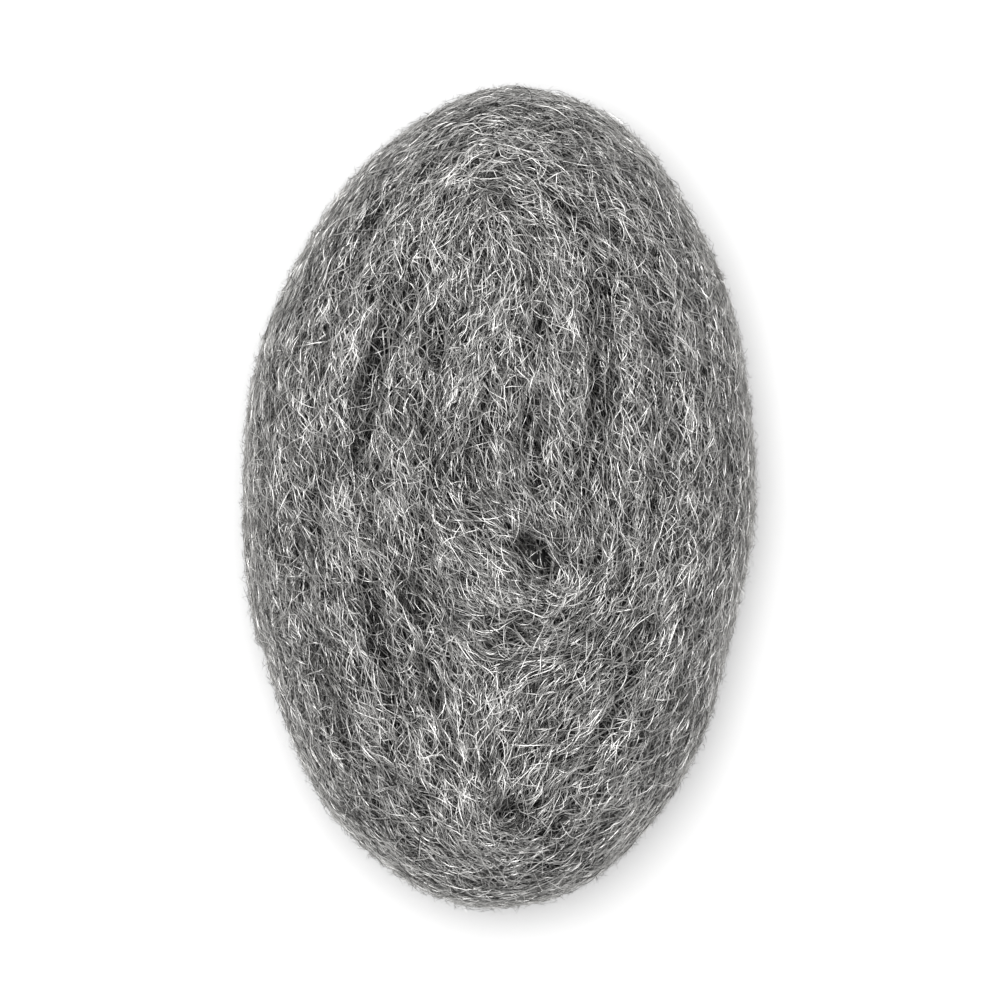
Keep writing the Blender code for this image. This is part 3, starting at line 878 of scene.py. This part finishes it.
def strandToneGroup():
    # a strand's grey: dark to pale by tone^curve, then back towards dark by end shade x (twice the share of
    # its length from its middle)^2, painted shade where its ends dive into the wool
    group, entry, leave = newGroup(
        "strand tone",
        [("Dark", "NodeSocketColor", (0.1, 0.1, 0.1, 1)), ("Pale", "NodeSocketColor", (0.6, 0.6, 0.6, 1)),
         ("Curve", "NodeSocketFloat", 1.0), ("End Shade", "NodeSocketFloat", 0.3)],
        [("Color", "NodeSocketColor")],
    )
    dark, pale, curve, endShade = entry.outputs[:4]
    tone, along = mapPlace(group)
    grey = colourMix(group, mathNode(group, "POWER", tone, curve), dark, pale)
    fromMiddle = mathNode(group, "SUBTRACT", along, 0.5)
    squared = mathNode(group, "MULTIPLY", fromMiddle, fromMiddle)
    endShadeShare = mathNode(group, "MULTIPLY", squared, endShade)
    scaled = mathNode(group, "MULTIPLY", endShadeShare, 4.0)  # the square of half a strand is then 1 at its end
    group.links.new(colourMix(group, scaled, grey, dark), leave.inputs["Color"])
    return group


def strandSteel(name, group, look):
    # plain metal whose colour is the strand's tone, painted shade and rim light included
    material, tree, shader = newMaterial(name, look)
    tone = tree.nodes.new("ShaderNodeGroup")
    tone.node_tree = group
    tone.inputs["Dark"].default_value = (*look["dark"], 1)
    tone.inputs["Pale"].default_value = (*look["pale"], 1)
    tone.inputs["Curve"].default_value = look["curve"]
    tone.inputs["End Shade"].default_value = look["endShade"]
    tree.links.new(tone.outputs["Color"], shader.inputs["Base Color"])
    return material


# the ends' darkening in both looks is painted shade where strands dive in
strandLook = {
    "metallic": 1.0, "roughness": 0.48, "dark": (0.003, 0.003, 0.003), "pale": (0.92, 0.91, 0.89),
    "curve": 1.2, "endShade": 0.5,
}
hairLook = {
    "metallic": 1.0, "roughness": 0.42, "dark": (0.08, 0.08, 0.078), "pale": (0.45, 0.45, 0.44),
    "curve": 1.0, "endShade": 0.3,
}
# the body's near-black greys are painted shade: the same steel, seen only down in the gaps between strands
matShadeLook = {
    "metallic": 0.6, "roughness": 0.6, "dark": (0.002, 0.002, 0.002), "pale": (0.03, 0.03, 0.0295),
    "strandsRound": 9.0, "strandsAcross": 150.0, "bump": 0.35, "bumpHeight": 0.3 * mm,
    "detail": 5.0, "detailRoughness": 0.65, "distortion": 0.8, "darkTo": 0.42, "paleFrom": 0.72,
}


def shadedMatSteel():
    # streaks that run round the winding: noise on a ring (no seam) stretched along it, between near-black
    # greys that are painted shade for the deep gaps between strands
    look = matShadeLook
    material, tree, shader = newMaterial("matted steel", look)
    nodes, links = tree.nodes, tree.links
    around, across = mapPlace(tree)
    turn = mathNode(tree, "MULTIPLY", around, 2 * math.pi)
    ring = nodes.new("ShaderNodeCombineXYZ")
    for axis, operation in (("X", "COSINE"), ("Y", "SINE")):
        wave = mathNode(tree, operation, turn)
        links.new(mathNode(tree, "MULTIPLY", wave, look["strandsRound"]), ring.inputs[axis])
    links.new(mathNode(tree, "MULTIPLY", across, look["strandsAcross"]), ring.inputs["Z"])
    noise = nodes.new("ShaderNodeTexNoise")
    noise.inputs["Scale"].default_value = 1.0
    noise.inputs["Detail"].default_value = look["detail"]
    noise.inputs["Roughness"].default_value = look["detailRoughness"]
    noise.inputs["Distortion"].default_value = look["distortion"]
    links.new(ring.outputs[0], noise.inputs["Vector"])
    ramp = nodes.new("ShaderNodeValToRGB")
    ends = ((look["darkTo"], look["dark"]), (look["paleFrom"], look["pale"]))
    for element, (position, colour) in zip(ramp.color_ramp.elements, ends):
        element.position = position
        element.color = (*colour, 1)
    links.new(noise.outputs["Fac"], ramp.inputs["Fac"])
    links.new(ramp.outputs["Color"], shader.inputs["Base Color"])
    bump = nodes.new("ShaderNodeBump")
    bump.inputs["Strength"].default_value = look["bump"]
    bump.inputs["Distance"].default_value = look["bumpHeight"]
    links.new(noise.outputs["Fac"], bump.inputs["Height"])
    links.new(bump.outputs["Normal"], shader.inputs["Normal"])
    return material


toneGroup = strandToneGroup()
steel = strandSteel("strand steel", toneGroup, strandLook)
hairSteel = strandSteel("stray hair steel", toneGroup, hairLook)

mat = woolMat()
mat.data.materials.append(shadedMatSteel())
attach(mat, "root")
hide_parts("steel_wool_pad")
print("stage: matted body,", len(mat.data.polygons), "faces")

for name in families:
    piece = strandFamily(name)
    piece.data.materials.append(hairSteel if name == "stray_hairs" else steel)
    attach(piece, "root")

# Floor, light and camera
studio = {
    "floorSize": 3.0,
    "floorColour": (0.95, 0.95, 0.95, 1),
    "floorLook": {"metallic": 0.0, "roughness": 0.9},
    "floorGlow": 0.2,  # added for the camera alone, so that the table reads white
    "skyStrength": 0.55,
    "keyEnergy": 8.0,
    "keySize": 0.7,
    "keyPlace": (-0.14, 0.16, 1.15),
    "cameraHeight": 1.2,
    "pixel": 0.1397 * mm,  # at the height of the pad's outline
    "pictureSize": 1000,
    "padInPicture": (499.5, 497.5),  # the pad's middle, in pixels across and down
    "filmWidth": 36.0,
}


def floorPlane():
    # one square at the height of the table, which keeps the pad's shadow
    half = studio["floorSize"] / 2
    corners = [(-half, -half, 0), (half, -half, 0), (half, half, 0), (-half, half, 0)]
    mesh = bpy.data.meshes.new("floor")
    mesh.from_pydata(corners, [], [(0, 1, 2, 3)])
    floor = bpy.data.objects.new("floor", mesh)
    bpy.context.scene.collection.objects.link(floor)
    material, tree, shader = newMaterial("white table", studio["floorLook"])
    shader.inputs["Base Color"].default_value = studio["floorColour"]
    shader.inputs["Specular IOR Level"].default_value = 0.0
    path = tree.nodes.new("ShaderNodeLightPath")
    glow = mathNode(tree, "MULTIPLY", path.outputs["Is Camera Ray"], studio["floorGlow"])
    tree.links.new(glow, shader.inputs["Emission Strength"])
    shader.inputs["Emission Color"].default_value = (1, 1, 1, 1)
    mesh.materials.append(material)
    return floor


def skyLight():
    # soft white from all round, which the camera sees at full white
    world = bpy.data.worlds.new("studio")
    bpy.context.scene.world = world
    world.use_nodes = True
    nodes, links = world.node_tree.nodes, world.node_tree.links
    background = nodes["Background"]
    background.inputs["Color"].default_value = (1, 1, 1, 1)
    path = nodes.new("ShaderNodeLightPath")
    strength = nodes.new("ShaderNodeMix")
    strength.data_type = "FLOAT"
    strength.inputs["A"].default_value = studio["skyStrength"]
    strength.inputs["B"].default_value = 1.0
    links.new(path.outputs["Is Camera Ray"], strength.inputs["Factor"])
    links.new(strength.outputs["Result"], background.inputs["Strength"])


def keyLight():
    # one wide lamp, turned to face the pad
    data = bpy.data.lights.new("window light", "AREA")
    data.energy, data.size = studio["keyEnergy"], studio["keySize"]
    lamp = bpy.data.objects.new("window light", data)
    lamp.location = studio["keyPlace"]
    place = np.array(studio["keyPlace"])
    tilt = math.atan2(math.hypot(place[0], place[1]), place[2])
    lamp.rotation_euler = (tilt, 0, math.atan2(place[1], place[0]) + math.pi / 2)
    bpy.context.scene.collection.objects.link(lamp)


def topCamera():
    # looks straight down; its lens makes one pixel the stated size at the height of the widest line
    data = bpy.data.cameras.new("camera")
    height, pixel, size = studio["cameraHeight"], studio["pixel"], studio["pictureSize"]
    data.sensor_width = studio["filmWidth"]
    data.sensor_fit = "HORIZONTAL"
    data.lens = studio["filmWidth"] * (height - padForm["widestHeight"]) / (size * pixel)
    camera = bpy.data.objects.new("camera", data)
    acrossPicture, downPicture = studio["padInPicture"]
    camera.location = ((size / 2 - acrossPicture) * pixel, (downPicture - size / 2) * pixel, height)
    bpy.context.scene.collection.objects.link(camera)
    bpy.context.scene.camera = camera


floorPlane()
skyLight()
keyLight()
topCamera()
bpy.context.scene.view_settings.view_transform = "Standard"
print("stage: floor, light and camera")
